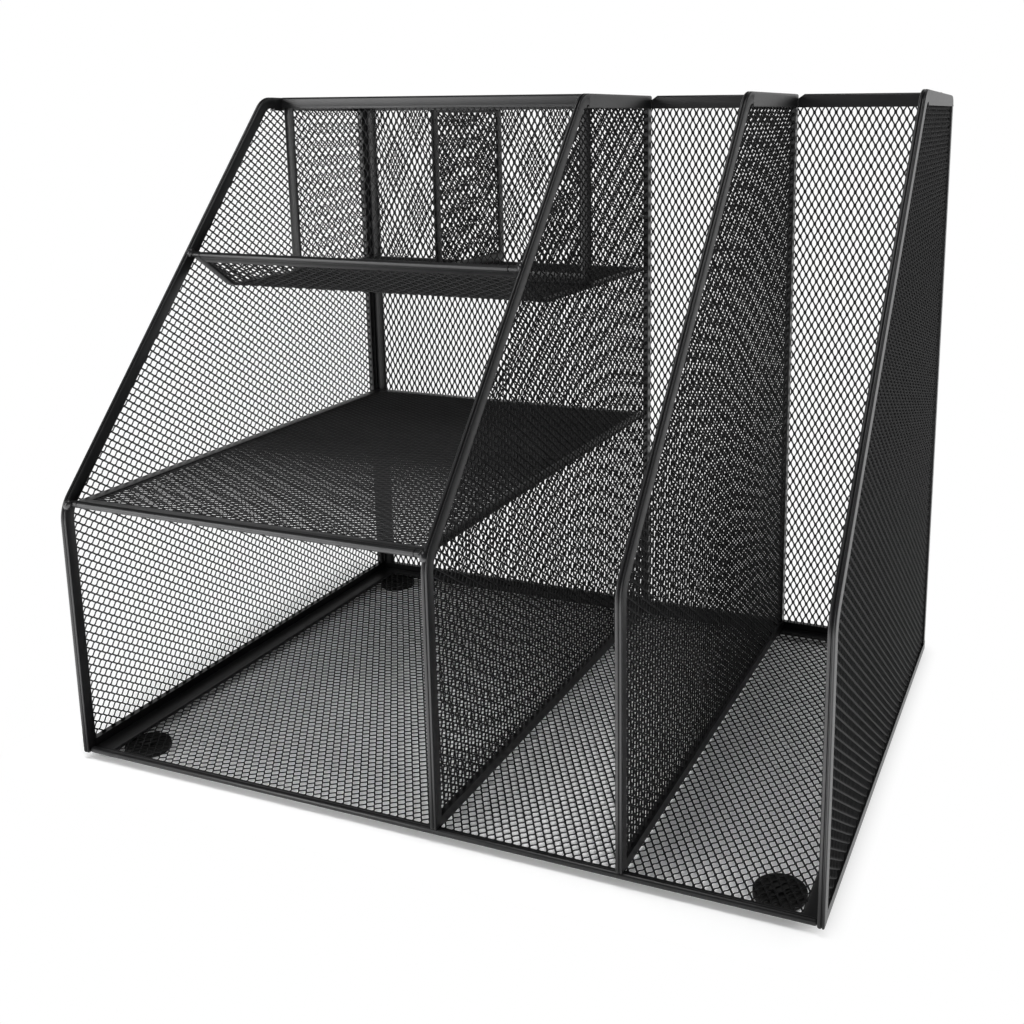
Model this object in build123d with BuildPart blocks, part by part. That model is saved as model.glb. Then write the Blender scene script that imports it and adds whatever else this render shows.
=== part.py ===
from build123d import *
import math
import os

# Bays, from the middle of one upright panel to the middle of the next
desk_bay_width = 178.5
first_slot_width = 79.0
second_slot_width = 76.0

# Upright panels, seen from the side
panel_depth = 251.0
panel_height = 290.0
front_height = 115.6
top_setback = 156.1
kink_radius = 18.0
crest_radius = 13.5

# Folded hem that runs up the front edge of an upright panel
rim_width = 2.8
rim_depth = 4.8
rim_round = 1.1
rim_end_round = 0.9
rim_runout = 2.0

# Hems and strips that close the other edges
strip_thickness = 0.8
cap_height = 6.7
cap_corner_radius = 3.5
rail_height = 5.2
back_hem_depth = 4.8
back_cap_chamfer_length = 3.0
back_cap_chamfer_height = 2.0

# Expanded metal sheet, drawn with a coarser diamond than the real one
sheet_thickness = 0.8
strand_width = 2.2
edge_strand_width = 1.0
diamond_short = 34.0
diamond_long = 56.0
smallest_gap = 0.06

# Floor
floor_rim_diameter = 2.8
floor_strip_width = 7.0
floor_front_strip_width = 7.7
back_corner_strip_width = 6.5

# Lower shelf
shelf_height = 117.0
shelf_rail_diameter = 3.2
shelf_strip_width = 5.5

# Upper tray with its sloping lip
tray_height = 198.4
tray_rail_diameter = 3.0
tray_lip_drop = 17.5
tray_lip_angle = 35.0
tray_bend_radius = 9.0
tray_strip_width = 5.0
tray_seam_width = 1.5

# Accessory compartments at the back of the tray
accessory_depth = 78.0
accessory_left_width = 90.0
accessory_strip_width = 6.0
accessory_band_height = 6.3

# Rubber feet
foot_diameter = 20.5
foot_plug_diameter = 8.0
foot_stand = 3.0
foot_chamfer = 0.8

# From the inner edge of the floor's strip to the middle of a foot
foot_side_offset = 10.6
foot_front_offset = 10.7
foot_back_offset = 5.8

# Places that follow from the sizes above
total_width = desk_bay_width + first_slot_width + second_slot_width
left_x = -total_width / 2
shelf_divider_x = left_x + desk_bay_width
file_divider_x = shelf_divider_x + first_slot_width
right_x = file_divider_x + second_slot_width
front_y = -panel_depth / 2
back_y = panel_depth / 2
base_z = foot_stand
top_z = base_z + panel_height
half_rim = rim_width / 2
half_sheet = sheet_thickness / 2
slope_angle = math.atan2(top_setback, panel_height - front_height)

os.makedirs("parts", exist_ok=True)


def write_node(builder, name):
    """Labels one finished piece and writes its file."""
    builder.part.label = name
    export_step(builder.part, f"parts/{name}.step")


def panel_corners(front, top, back, bottom):
    """Corners of the upright panel in (Y, Z), with each edge moved inwards."""
    kink_z = base_z + front_height - front * math.tan(slope_angle / 2)
    crest_z = top_z - top
    crest_y = front_y + front + (crest_z - kink_z) * math.tan(slope_angle)
    return [
        (front_y + front, base_z + bottom),
        (front_y + front, kink_z),
        (crest_y, crest_z),
        (back_y - back, crest_z),
        (back_y - back, base_z + bottom),
    ]


def panel_face(front, top, back, bottom):
    """Upright panel outline in (Y, Z), with its two turned corners."""
    corners = panel_corners(front, top, back, bottom)
    with BuildSketch() as outline:
        with BuildLine():
            Polyline(*corners, close=True)
        make_face()
        kink = outline.vertices().sort_by_distance(Vector(*corners[1]))[0]
        fillet(kink, kink_radius - front)
        crest = outline.vertices().sort_by_distance(Vector(*corners[2]))[0]
        fillet(crest, crest_radius - front)
    return outline.sketch


def rectangle_face(low, high):
    """Rectangle from one corner to the other, in the axes of its sketch."""
    with BuildSketch() as outline:
        with Locations(((low[0] + high[0]) / 2, (low[1] + high[1]) / 2)):
            Rectangle(high[0] - low[0], high[1] - low[1])
    return outline.sketch


def diamond_gaps(window, low, high, upright):
    """Gaps of the expanded sheet inside a window, as separate faces.

    Whole diamonds are fitted between the low and high corners of the window.
    """
    width, length = high[0] - low[0], high[1] - low[1]
    pitches = (diamond_short, diamond_long) if upright else (diamond_long, diamond_short)
    columns = max(1, round(width / pitches[0]))
    rows = max(1, round(length / pitches[1]))
    across, along = width / columns, length / rows
    shrink = 1 - strand_width * math.hypot(across, along) / (across * along)
    half_across, half_along = across / 2 * shrink, along / 2 * shrink
    corners = [(half_across, 0), (0, half_along), (-half_across, 0), (0, -half_along)]
    with BuildSketch() as gaps:
        with Locations(((low[0] + high[0]) / 2, (low[1] + high[1]) / 2)):
            with GridLocations(across, along, columns, rows + 1):
                Polygon(*corners, align=None)
            with GridLocations(across, along, columns + 1, rows):
                Polygon(*corners, align=None)
        add(window, mode=Mode.INTERSECT)
    full_gap = 2 * half_across * half_along
    return [gap for gap in gaps.sketch.faces() if gap.area > smallest_gap * full_gap]


def sheet_node(name, plane, plate, window, low, high, upright):
    """Expanded sheet: a plate centred on its plane, with the gaps cut through."""
    gaps = diamond_gaps(window, low, high, upright)
    with BuildPart() as sheet:
        with BuildSketch(plane.offset(-half_sheet)):
            add(plate)
            add(gaps, mode=Mode.SUBTRACT)
        extrude(amount=sheet_thickness, clean=False)
    write_node(sheet, name)


def rim_path(x, start_z):
    """Front line of an upright panel, from its foot to just past its crest."""
    corners = panel_corners(0, 0, 0, 0)
    crest_tangent = crest_radius * math.tan((math.pi / 2 - slope_angle) / 2)
    run_end = corners[2][0] + crest_tangent + rim_runout
    with BuildLine() as path:
        FilletPolyline(
            (x, front_y, start_z),
            (x, *corners[1]),
            (x, *corners[2]),
            (x, run_end, top_z),
            radius=[kink_radius, crest_radius],
        )
    return path.wires()[0], run_end


def rim_middle(z):
    """Y of the middle line of the folded rim at a height above the floor."""
    corners = panel_corners(rim_depth / 2, 0, 0, 0)
    radius = kink_radius - rim_depth / 2
    tangent = radius * math.tan(slope_angle / 2)
    bend_start = corners[1][1] - tangent
    bend_end = corners[1][1] + tangent * math.cos(slope_angle)
    if z <= bend_start:
        return corners[0][0]
    if z < bend_end:
        return corners[0][0] + radius - math.sqrt(radius**2 - (z - bend_start) ** 2)
    return corners[1][0] + (z - corners[1][1]) * math.tan(slope_angle)


def upright_panel(name, x, stands_on_floor):
    """The five pieces of one upright panel: sheet, rim, cap, foot rail, back strip."""
    floor_top = base_z + floor_rim_diameter / 2 + half_sheet
    if stands_on_floor:
        rim_start = base_z + floor_rim_diameter
        rail_start_z = floor_top
        rail_end_y = back_y - rim_width
        panel_end_y = back_y - half_rim - half_sheet
    else:
        rim_start = base_z
        rail_start_z = base_z
        rail_end_y = back_y
        panel_end_y = back_y
    rail_start_y = front_y + rim_depth
    rail_top = rail_start_z + rail_height
    cap_bottom = top_z - cap_height
    run_end = rim_path(x, rim_start)[1]

    plate_back = back_y - panel_end_y + back_hem_depth
    plate = panel_face(rim_depth, rim_depth, plate_back, rail_top - base_z)
    window_front = rim_depth + edge_strand_width
    window_back = plate_back + edge_strand_width
    window_bottom = rail_top + edge_strand_width
    window = panel_face(window_front, cap_height, window_back, window_bottom - base_z)
    low = (front_y + window_front, window_bottom)
    high = (back_y - window_back, cap_bottom)
    sheet_node(f"{name}_mesh", Plane.YZ.offset(x), plate, window, low, high, False)

    with BuildPart() as rim:
        start = Plane(origin=(x, front_y, rim_start), x_dir=(1, 0, 0), z_dir=(0, 0, 1))
        with BuildSketch(start) as bead:
            with Locations((0, rim_depth / 2)):
                Rectangle(rim_width, rim_depth)
            fillet(bead.vertices().group_by(Axis.Y)[0], rim_round)
        sweep(path=rim_path(x, rim_start)[0])
        end_face = rim.faces().sort_by(Axis.Z)[0]
        front_edges = end_face.edges().sort_by(Axis.Y)[:-1]
        fillet(front_edges, rim_end_round)
    write_node(rim, f"{name}_rim")

    with BuildPart() as cap:
        with BuildSketch(Plane.XZ.offset(-run_end)) as section:
            with Locations((x, top_z - cap_height / 2)):
                Rectangle(rim_width, cap_height)
            fillet(section.vertices().group_by(Axis.Y)[-1], rim_round)
            slot_depth = cap_height - rim_depth
            with Locations((x, cap_bottom + slot_depth / 2)):
                Rectangle(sheet_thickness, slot_depth, mode=Mode.SUBTRACT)
        extrude(amount=-(panel_end_y - run_end))
        if not stands_on_floor:
            centre_y = panel_end_y - cap_corner_radius
            centre_z = top_z - cap_corner_radius
            with BuildSketch(Plane.YZ.offset(x)):
                with Locations((centre_y, centre_z)):
                    corner_size = (cap_corner_radius, cap_corner_radius)
                    Rectangle(*corner_size, align=(Align.MIN, Align.MIN))
                    Circle(cap_corner_radius, mode=Mode.SUBTRACT)
            extrude(amount=half_rim, both=True, mode=Mode.SUBTRACT)
    write_node(cap, f"{name}_cap")

    with BuildPart() as rail:
        with BuildSketch(Plane.XZ.offset(-rail_start_y)) as section:
            with Locations((x, rail_start_z + rail_height / 2)):
                Rectangle(rim_width, rail_height)
            fillet(section.vertices().group_by(Axis.Y)[0], rim_end_round)
        extrude(amount=-(rail_end_y - rail_start_y))
    write_node(rail, f"{name}_foot_rail")

    with BuildPart() as back:
        with BuildSketch(Plane.XY.offset(rail_top)):
            with Locations((x, panel_end_y - back_hem_depth / 2)):
                Rectangle(rim_width, back_hem_depth)
        extrude(amount=cap_bottom - rail_top)
        if not stands_on_floor:
            fillet(back.edges().filter_by(Axis.Z).group_by(Axis.Y)[-1], rim_end_round)
    write_node(back, f"{name}_back_strip")


upright_panel("left_side", left_x, False)
upright_panel("shelf_divider", shelf_divider_x, True)
upright_panel("file_divider", file_divider_x, True)
upright_panel("right_side", right_x, False)

# Back wall: sheet, foot rail, corner strips and one cap for each bay
inner_left = left_x + half_rim
inner_right = right_x - half_rim
wall_y = back_y - half_rim
wall_front_y = back_y - rim_width
wall_plane = Plane.XZ.offset(-wall_y)
wall_bottom = base_z + rail_height
wall_top = top_z - rim_depth

wall_low = (inner_left, wall_bottom)
wall_high = (inner_right, wall_top)
wall_window_low = (inner_left + back_corner_strip_width, wall_bottom + edge_strand_width)
wall_window_high = (inner_right - back_corner_strip_width, top_z - cap_height)
sheet_node(
    "back_wall_mesh",
    wall_plane,
    rectangle_face(wall_low, wall_high),
    rectangle_face(wall_window_low, wall_window_high),
    wall_window_low,
    wall_window_high,
    True,
)

with BuildPart() as back_rail:
    with BuildSketch(Plane.YZ.offset(inner_left)) as section:
        with Locations((wall_y, base_z + rail_height / 2)):
            Rectangle(rim_width, rail_height)
        fillet(section.vertices().group_by(Axis.Y)[0], rim_end_round)
    extrude(amount=inner_right - inner_left)
write_node(back_rail, "back_wall_foot_rail")

corner_strips = {
    "back_wall_left_strip": inner_left + back_corner_strip_width / 2,
    "back_wall_right_strip": inner_right - back_corner_strip_width / 2,
}
for name, strip_x in corner_strips.items():
    with BuildPart() as corner_strip:
        with BuildSketch(Plane.XY.offset(wall_bottom)):
            with Locations((strip_x, wall_y + half_sheet + strip_thickness / 2)):
                Rectangle(back_corner_strip_width, strip_thickness)
        extrude(amount=top_z - cap_height - wall_bottom)
    write_node(corner_strip, name)

bay_edges = [left_x, shelf_divider_x, file_divider_x, right_x]
for number, bay in enumerate(["desk_bay", "first_slot", "second_slot"]):
    cap_left = bay_edges[number] + half_rim
    cap_right = bay_edges[number + 1] - half_rim
    with BuildPart() as back_cap:
        with BuildSketch(Plane.YZ.offset(cap_left)) as section:
            with Locations((wall_y, top_z - cap_height / 2)):
                Rectangle(rim_width, cap_height)
            fillet(section.vertices().group_by(Axis.Y)[-1], rim_round)
            slot_depth = cap_height - rim_depth
            with Locations((wall_y, top_z - cap_height + slot_depth / 2)):
                Rectangle(sheet_thickness, slot_depth, mode=Mode.SUBTRACT)
        extrude(amount=cap_right - cap_left)
        with BuildSketch(Plane.XZ.offset(-wall_front_y)):
            with BuildLine():
                Polyline(
                    (cap_left, top_z),
                    (cap_left + back_cap_chamfer_length, top_z),
                    (cap_left, top_z - back_cap_chamfer_height),
                    close=True,
                )
            make_face()
            with BuildLine():
                Polyline(
                    (cap_right, top_z),
                    (cap_right - back_cap_chamfer_length, top_z),
                    (cap_right, top_z - back_cap_chamfer_height),
                    close=True,
                )
            make_face()
        extrude(amount=-rim_width, mode=Mode.SUBTRACT)
    write_node(back_cap, f"back_wall_{bay}_cap")

# Floor: sheet, round front rim with its strip, and the strip round the other edges
floor_z = base_z + floor_rim_diameter / 2
floor_plane = Plane.XY.offset(floor_z)
floor_front = front_y + rim_depth / 2 + floor_rim_diameter / 2
front_strip_end = front_y + floor_front_strip_width
floor_low = (inner_left, floor_front)
floor_high = (inner_right, wall_front_y)
floor_window_low = (inner_left + floor_strip_width, front_strip_end)
floor_window_high = (inner_right - floor_strip_width, wall_front_y - floor_strip_width)
sheet_node(
    "floor_mesh",
    floor_plane,
    rectangle_face(floor_low, floor_high),
    rectangle_face(floor_window_low, floor_window_high),
    floor_window_low,
    floor_window_high,
    True,
)

strip_top = floor_z - half_sheet
strip_bottom = strip_top - strip_thickness
with BuildPart() as floor_rim:
    with BuildSketch(Plane.YZ.offset(inner_left)):
        with Locations((front_y + rim_depth / 2, floor_z)):
            Circle(floor_rim_diameter / 2)
    extrude(amount=inner_right - inner_left)
    fillet(floor_rim.edges().filter_by(GeomType.CIRCLE), rim_end_round)
    with BuildSketch(Plane.XY.offset(strip_bottom)):
        front_strip_low = (floor_window_low[0], front_y + rim_depth / 2)
        add(rectangle_face(front_strip_low, (floor_window_high[0], front_strip_end)))
    extrude(amount=strip_thickness)
write_node(floor_rim, "floor_front_rim")

with BuildPart() as floor_strip:
    with BuildSketch(Plane.XY.offset(strip_bottom)):
        add(rectangle_face((inner_left, floor_front), floor_high))
        inner_window = rectangle_face((floor_window_low[0], floor_front), floor_window_high)
        add(inner_window, mode=Mode.SUBTRACT)
    extrude(amount=strip_thickness)
write_node(floor_strip, "floor_edge_strip")


def level_shelf(name, height, front_edge, strip_width, strip_front):
    """Level sheet in the desk bay with the strip under its edges."""
    shelf_left = inner_left
    shelf_right = shelf_divider_x - half_rim
    shelf_back = wall_y - half_sheet
    middle = base_z + height - half_sheet
    plane = Plane.XY.offset(middle)
    low = (shelf_left, front_edge)
    high = (shelf_right, shelf_back)
    window_low = (shelf_left + strip_width, front_edge + strip_front)
    window_high = (shelf_right - strip_width, shelf_back - strip_width)
    sheet_node(
        f"{name}_mesh",
        plane,
        rectangle_face(low, high),
        rectangle_face(window_low, window_high),
        window_low,
        window_high,
        True,
    )
    under = middle - half_sheet - strip_thickness
    with BuildPart() as strip:
        with BuildSketch(Plane.XY.offset(under)):
            add(rectangle_face(low, high))
            add(rectangle_face(window_low, window_high), mode=Mode.SUBTRACT)
        extrude(amount=strip_thickness)
    write_node(strip, f"{name}_edge_strip")


def round_rail(name, y, z, diameter):
    """Round rail across the desk bay, between two rims."""
    with BuildPart() as rail:
        with BuildSketch(Plane.YZ.offset(inner_left)):
            with Locations((y, z)):
                Circle(diameter / 2)
        extrude(amount=shelf_divider_x - half_rim - inner_left)
    write_node(rail, name)


shelf_rail_z = base_z + shelf_height - half_sheet
shelf_rail_y = rim_middle(shelf_rail_z)
round_rail("shelf_front_rail", shelf_rail_y, shelf_rail_z, shelf_rail_diameter)
shelf_front_y = shelf_rail_y + shelf_rail_diameter / 2
level_shelf("shelf", shelf_height, shelf_front_y, shelf_strip_width, shelf_strip_width)

# Upper tray: rail on the slope, lip down to the level sheet behind its bend
lip_slope = math.radians(tray_lip_angle)
tray_middle_z = base_z + tray_height - half_sheet
tray_rail_z = tray_middle_z + tray_lip_drop
tray_rail_y = rim_middle(tray_rail_z)
bend_y = tray_rail_y + tray_lip_drop / math.tan(lip_slope)
bend_tangent = tray_bend_radius * math.tan(lip_slope / 2)
bend_end_y = bend_y + bend_tangent + tray_seam_width
round_rail("tray_front_rail", tray_rail_y, tray_rail_z, tray_rail_diameter)
level_shelf("tray", tray_height, bend_end_y, tray_strip_width, tray_seam_width)


def tray_lip_path(x, start, drop):
    """Line of the lip from below the rail to the level sheet, moved down by drop."""
    start_y = tray_rail_y + start * math.cos(lip_slope) - drop * math.sin(lip_slope)
    start_z = tray_rail_z - start * math.sin(lip_slope) - drop * math.cos(lip_slope)
    turn_y = bend_y - drop * math.tan(lip_slope / 2)
    with BuildLine() as path:
        FilletPolyline(
            (x, start_y, start_z),
            (x, turn_y, tray_middle_z - drop),
            (x, bend_end_y, tray_middle_z - drop),
            radius=tray_bend_radius + drop,
        )
    section = Plane(
        origin=(x, start_y, start_z),
        x_dir=(1, 0, 0),
        z_dir=(0, math.cos(lip_slope), -math.sin(lip_slope)),
    )
    return path.wires()[0], section


bay_middle = (inner_left + shelf_divider_x - half_rim) / 2
bay_clear = shelf_divider_x - half_rim - inner_left
lip_start = tray_rail_diameter / 2
lip_length = tray_lip_drop / math.sin(lip_slope) - bend_tangent
lip_plane = Plane(
    origin=(bay_middle, tray_rail_y, tray_rail_z),
    x_dir=(1, 0, 0),
    z_dir=(0, math.sin(lip_slope), math.cos(lip_slope)),
)
lip_window_low = (-bay_clear / 2 + tray_strip_width, lip_start + tray_strip_width)
lip_window_high = (bay_clear / 2 - tray_strip_width, lip_length)
lip_window = rectangle_face(lip_window_low, lip_window_high)
with BuildPart() as tray_lip:
    path, section_plane = tray_lip_path(bay_middle, lip_start, 0)
    with BuildSketch(section_plane):
        Rectangle(bay_clear, sheet_thickness)
    sweep(path=path)
    with BuildSketch(lip_plane):
        add(diamond_gaps(lip_window, lip_window_low, lip_window_high, True))
    extrude(amount=sheet_thickness, both=True, mode=Mode.SUBTRACT)
write_node(tray_lip, "tray_lip_mesh")

with BuildPart() as lip_strip:
    strip_drop = half_sheet + strip_thickness / 2
    for side in (-1, 1):
        strip_x = bay_middle + side * (bay_clear - tray_strip_width) / 2
        path, section_plane = tray_lip_path(strip_x, lip_start, strip_drop)
        with BuildSketch(section_plane):
            Rectangle(tray_strip_width, strip_thickness)
        sweep(path=path)
    with BuildSketch(lip_plane.offset(-strip_drop)):
        band_high = (bay_clear / 2, lip_start + tray_strip_width)
        add(rectangle_face((-bay_clear / 2, lip_start), band_high))
    extrude(amount=strip_thickness / 2, both=True)
write_node(lip_strip, "tray_lip_strip")

# Accessory compartments: front wall with a top band, and one divider behind it
accessory_y = wall_y - accessory_depth
accessory_bottom = base_z + tray_height
accessory_left = inner_left
accessory_right = shelf_divider_x - half_rim
accessory_plane = Plane.XZ.offset(-accessory_y)
band_bottom = top_z - accessory_band_height
front_low = (accessory_left, accessory_bottom)
front_high = (accessory_right, top_z - rim_depth)
front_window_low = (
    accessory_left + accessory_strip_width,
    accessory_bottom + accessory_strip_width,
)
front_window_high = (accessory_right - accessory_strip_width, band_bottom)
sheet_node(
    "accessory_front_mesh",
    accessory_plane,
    rectangle_face(front_low, front_high),
    rectangle_face(front_window_low, front_window_high),
    front_window_low,
    front_window_high,
    True,
)

with BuildPart() as accessory_strip:
    with BuildSketch(Plane.XZ.offset(-(accessory_y - half_sheet))):
        add(rectangle_face(front_low, (accessory_right, band_bottom)))
        add(rectangle_face(front_window_low, front_window_high), mode=Mode.SUBTRACT)
    extrude(amount=strip_thickness)
write_node(accessory_strip, "accessory_front_strip")

with BuildPart() as band:
    with BuildSketch(Plane.YZ.offset(accessory_left)) as section:
        with Locations((accessory_y, top_z - accessory_band_height / 2)):
            Rectangle(rim_width, accessory_band_height)
        fillet(section.vertices().group_by(Axis.Y)[-1], rim_round)
        slot_depth = accessory_band_height - rim_depth
        with Locations((accessory_y, band_bottom + slot_depth / 2)):
            Rectangle(sheet_thickness, slot_depth, mode=Mode.SUBTRACT)
    extrude(amount=accessory_right - accessory_left)
write_node(band, "accessory_top_band")

divider_x = left_x + accessory_left_width
divider_plane = Plane.YZ.offset(divider_x)
divider_low = (accessory_y + half_sheet, accessory_bottom)
divider_high = (wall_y - half_sheet, top_z - max(cap_height, accessory_band_height))
divider_window_low = (
    divider_low[0] + accessory_strip_width,
    divider_low[1] + accessory_strip_width,
)
divider_window_high = (
    divider_high[0] - accessory_strip_width,
    divider_high[1] - accessory_strip_width,
)
sheet_node(
    "accessory_divider_mesh",
    divider_plane,
    rectangle_face(divider_low, divider_high),
    rectangle_face(divider_window_low, divider_window_high),
    divider_window_low,
    divider_window_high,
    False,
)

with BuildPart() as divider_strip:
    with BuildSketch(Plane.YZ.offset(divider_x + half_sheet)):
        add(rectangle_face(divider_low, divider_high))
        add(rectangle_face(divider_window_low, divider_window_high), mode=Mode.SUBTRACT)
    extrude(amount=strip_thickness)
write_node(divider_strip, "accessory_divider_strip")

# Rubber feet, each a disc with a raised plug that meets the floor sheet
foot_left = floor_window_low[0] + foot_side_offset
foot_right = floor_window_high[0] - foot_side_offset
foot_front = floor_window_low[1] + foot_front_offset
foot_back = floor_window_high[1] - foot_back_offset
foot_places = {
    "foot_front_left": (foot_left, foot_front),
    "foot_front_right": (foot_right, foot_front),
    "foot_back_left": (foot_left, foot_back),
    "foot_back_right": (foot_right, foot_back),
}
for name, place in foot_places.items():
    with BuildPart() as foot:
        with BuildSketch():
            with Locations(place):
                Circle(foot_diameter / 2)
        extrude(amount=strip_bottom)
        chamfer(foot.edges().group_by(Axis.Z)[0], foot_chamfer)
        with BuildSketch(Plane.XY.offset(strip_bottom)):
            with Locations(place):
                Circle(foot_plug_diameter / 2)
        extrude(amount=strip_thickness)
    write_node(foot, name)
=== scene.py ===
"""Mesh desk organizer: expanded steel nets, folded hems and studio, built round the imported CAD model."""

import logging
import math
from collections.abc import Callable, Sequence
from dataclasses import dataclass, field
from enum import Enum

import bmesh
import bpy
import numpy as np
from mathutils import Matrix, Vector


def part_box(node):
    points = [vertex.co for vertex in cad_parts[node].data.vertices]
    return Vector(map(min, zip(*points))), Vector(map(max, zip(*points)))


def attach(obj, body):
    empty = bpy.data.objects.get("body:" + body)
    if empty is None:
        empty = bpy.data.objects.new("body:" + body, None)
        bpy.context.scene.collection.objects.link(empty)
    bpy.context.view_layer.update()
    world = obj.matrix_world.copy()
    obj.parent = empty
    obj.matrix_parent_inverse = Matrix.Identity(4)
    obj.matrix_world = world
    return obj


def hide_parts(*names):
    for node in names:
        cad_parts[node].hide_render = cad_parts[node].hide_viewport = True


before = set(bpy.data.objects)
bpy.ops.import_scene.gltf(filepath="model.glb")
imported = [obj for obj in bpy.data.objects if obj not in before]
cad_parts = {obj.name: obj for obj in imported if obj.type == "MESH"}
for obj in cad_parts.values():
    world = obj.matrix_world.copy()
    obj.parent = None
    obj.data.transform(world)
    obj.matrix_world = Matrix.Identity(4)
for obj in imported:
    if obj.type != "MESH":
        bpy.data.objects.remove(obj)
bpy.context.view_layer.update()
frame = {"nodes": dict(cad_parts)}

LOG = logging.getLogger("desk_organizer")
MM = 0.001
X_AXIS, Y_AXIS, Z_AXIS = np.eye(3)
NET_TUCK = 2.0  # How far a net runs in under its strips and hems, in millimetres
SPLIT_GAP = 0.01  # Step from one half of a net to the other, so that no strand is in both, in millimetres
Direction = Sequence[float] | np.ndarray
Outline = list[tuple[float, float]]
Part = tuple[np.ndarray, list[tuple[int, ...]]]
Place = Callable[..., np.ndarray]
Reach = Callable[[float], tuple[float, float]]


class Slot(Enum):
    """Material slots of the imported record."""

    FRAME = "coated_frame"
    MESH = "coated_mesh"
    RUBBER = "foot_rubber"


# ---------------------------------------------------------------- finishes


def linear(hex_colour: str) -> tuple[float, float, float, float]:
    """Turns an sRGB hex colour into linear values.

    Args:
        hex_colour: Six hex digits after a hash sign.

    Returns:
        Linear red, green and blue with a full alpha.
    """
    channels = [int(hex_colour[i : i + 2], 16) / 255 for i in (1, 3, 5)]
    red, green, blue = (c / 12.92 if c <= 0.04045 else ((c + 0.055) / 1.055) ** 2.4 for c in channels)
    return red, green, blue, 1.0


def add_node(tree: bpy.types.NodeTree, kind: str, settings: dict | None = None,
             links: dict | None = None) -> bpy.types.Node:
    """Adds one shader node.

    Args:
        tree: Node tree that takes the node.
        kind: Blender's type name of the node.
        settings: Attribute names, or input socket names or numbers, with their values.
        links: Input socket names or numbers with the output sockets that feed them.

    Returns:
        The new node.
    """
    node = tree.nodes.new(kind)
    for name, value in (settings or {}).items():
        if isinstance(name, int) or name in node.inputs:
            node.inputs[name].default_value = value
        else:
            setattr(node, name, value)
    for name, source in (links or {}).items():
        tree.links.new(source, node.inputs[name])
    return node


@dataclass(frozen=True)
class CoatedFinish:
    """Powder coat or rubber: one base tone, a soft drift of tone and a fine skin."""

    name: str
    base_hex: str
    drift_hex: str
    roughness_low: float
    roughness_high: float
    drift_mm: float
    skin_mm: float
    skin_height_mm: float
    specular: float

    def material(self) -> bpy.types.Material:
        """Builds the material.

        Returns:
            The node material of this finish.
        """
        material = bpy.data.materials.new(self.name)
        material.use_nodes = True
        tree = material.node_tree
        tree.nodes.clear()
        place = {"Vector": add_node(tree, "ShaderNodeTexCoord").outputs["Object"]}
        drift_look = {"Scale": 1 / (self.drift_mm * MM), "Detail": 3.0, "Roughness": 0.55}
        skin_look = {"Scale": 1 / (self.skin_mm * MM), "Detail": 2.0, "Roughness": 0.6}
        drift = add_node(tree, "ShaderNodeTexNoise", drift_look, place)
        skin = add_node(tree, "ShaderNodeTexNoise", skin_look, place).outputs["Fac"]
        tone = add_node(tree, "ShaderNodeValToRGB", {}, {"Fac": drift.outputs["Fac"]})
        steps = zip(tone.color_ramp.elements, (0.35, 0.68), (self.base_hex, self.drift_hex))
        for element, position, hex_colour in steps:
            element.position = position
            element.color = linear(hex_colour)
        span = {"To Min": self.roughness_low, "To Max": self.roughness_high}
        gloss = add_node(tree, "ShaderNodeMapRange", span, {"Value": skin})
        relief = {"Strength": 0.6, "Distance": self.skin_height_mm * MM}
        bump = add_node(tree, "ShaderNodeBump", relief, {"Height": skin})
        shader = add_node(
            tree,
            "ShaderNodeBsdfPrincipled",
            {"Specular IOR Level": self.specular},
            {
                "Base Color": tone.outputs["Color"],
                "Roughness": gloss.outputs["Result"],
                "Normal": bump.outputs["Normal"],
            },
        )
        add_node(tree, "ShaderNodeOutputMaterial", {}, {"Surface": shader.outputs["BSDF"]})
        return material


# Satin black epoxy-polyester powder coat on folded steel: a faint orange peel that softens each highlight
FOLDED_STEEL = CoatedFinish(
    "satin_powder_coat_on_folded_steel", "#111112", "#171718", roughness_low=0.32, roughness_high=0.42,
    drift_mm=14.0, skin_mm=0.9, skin_height_mm=0.02, specular=0.34,
)
# The same coat on expanded steel: thinner on the strands and a little duller
EXPANDED_STEEL = CoatedFinish(
    "satin_powder_coat_on_expanded_steel", "#0c0c0d", "#131314", roughness_low=0.50, roughness_high=0.62,
    drift_mm=9.0, skin_mm=0.7, skin_height_mm=0.02, specular=0.28,
)
# Coat that has flowed over a weld: rounder and glossier than on the strip beside it
WELD_COAT = CoatedFinish(
    "powder_coat_over_weld", "#101011", "#18181a", roughness_low=0.28, roughness_high=0.40,
    drift_mm=3.0, skin_mm=0.6, skin_height_mm=0.03, specular=0.4,
)
# Moulded matt rubber: dry, almost without highlight, with a fine moulded grain
FOOT_RUBBER = CoatedFinish(
    "moulded_matt_rubber", "#151515", "#1d1d1c", roughness_low=0.74, roughness_high=0.90,
    drift_mm=6.0, skin_mm=0.45, skin_height_mm=0.03, specular=0.35,
)


@dataclass
class Finishes:
    """The materials, each made once."""

    frame: bpy.types.Material = field(default_factory=FOLDED_STEEL.material)
    mesh: bpy.types.Material = field(default_factory=EXPANDED_STEEL.material)
    weld: bpy.types.Material = field(default_factory=WELD_COAT.material)
    rubber: bpy.types.Material = field(default_factory=FOOT_RUBBER.material)


# ---------------------------------------------------------------- mesh helpers


def box_mm(node: str) -> tuple[np.ndarray, np.ndarray]:
    """Lowest and highest corners of a CAD node, in millimetres."""
    low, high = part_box(node)
    return np.array(low) / MM, np.array(high) / MM


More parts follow.
